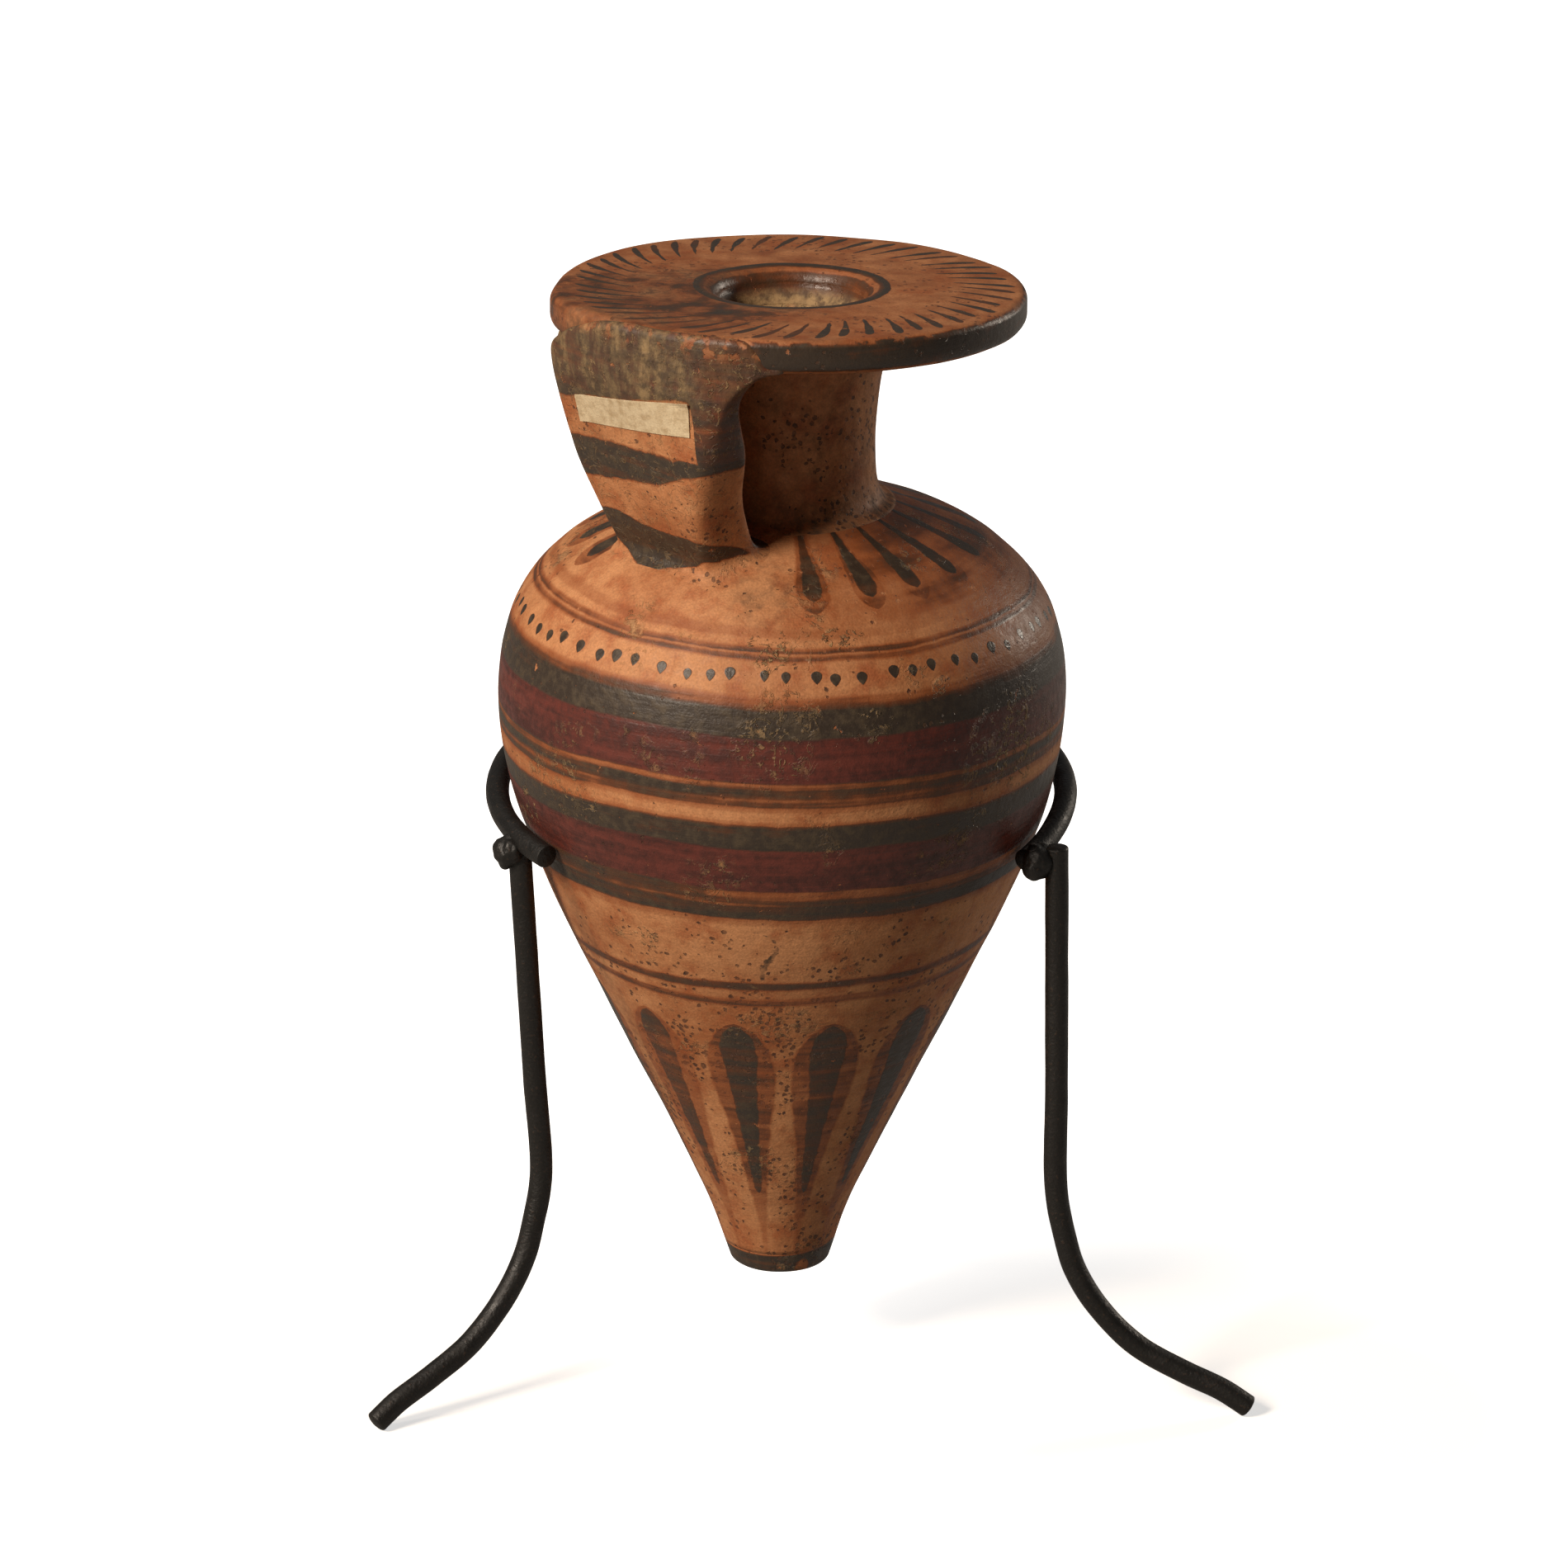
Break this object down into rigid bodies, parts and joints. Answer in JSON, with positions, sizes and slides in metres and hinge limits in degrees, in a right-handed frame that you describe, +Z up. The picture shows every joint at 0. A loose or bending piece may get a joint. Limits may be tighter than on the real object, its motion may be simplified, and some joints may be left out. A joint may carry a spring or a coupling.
{
  "type": "aryballos on a stand",
  "caption": "Pointed terracotta oil flask with a flat mouth disc and a broad strap handle, standing in an open black iron ring on splayed rod legs.",
  "frame": {"origin": "on the floor, under the middle of the whole object's outline", "axes": "+Z up along the vessel; the strap handle points to -Y; the stand's open front faces between +X and -Y"},
  "size_m": [0.1018, 0.1004, 0.1484],
  "materials": {
    "terracotta": "burnished orange clay with dark brown and maroon slip bands",
    "paper": "aged cream paper",
    "black_paint": "satin black paint on iron rod"
  },
  "bodies": {
    "stand": {"stand_ring": "black_paint", "front_left_leg": "black_paint", "front_right_leg": "black_paint", "back_leg": "black_paint", "front_left_weld": "black_paint", "front_right_weld": "black_paint", "back_weld": "black_paint"},
    "vessel": {"vessel_body": "terracotta", "vessel_foot": "terracotta", "vessel_neck": "terracotta", "mouth_disc": "terracotta", "strap_handle": "terracotta", "paper_label": "paper"}
  },
  "joints": [
    {"name": "vessel_lift", "type": "slide", "parent": "stand", "child": "vessel", "axis": [0, 0, 1], "range_m": [0, 0.085]}
  ]
}
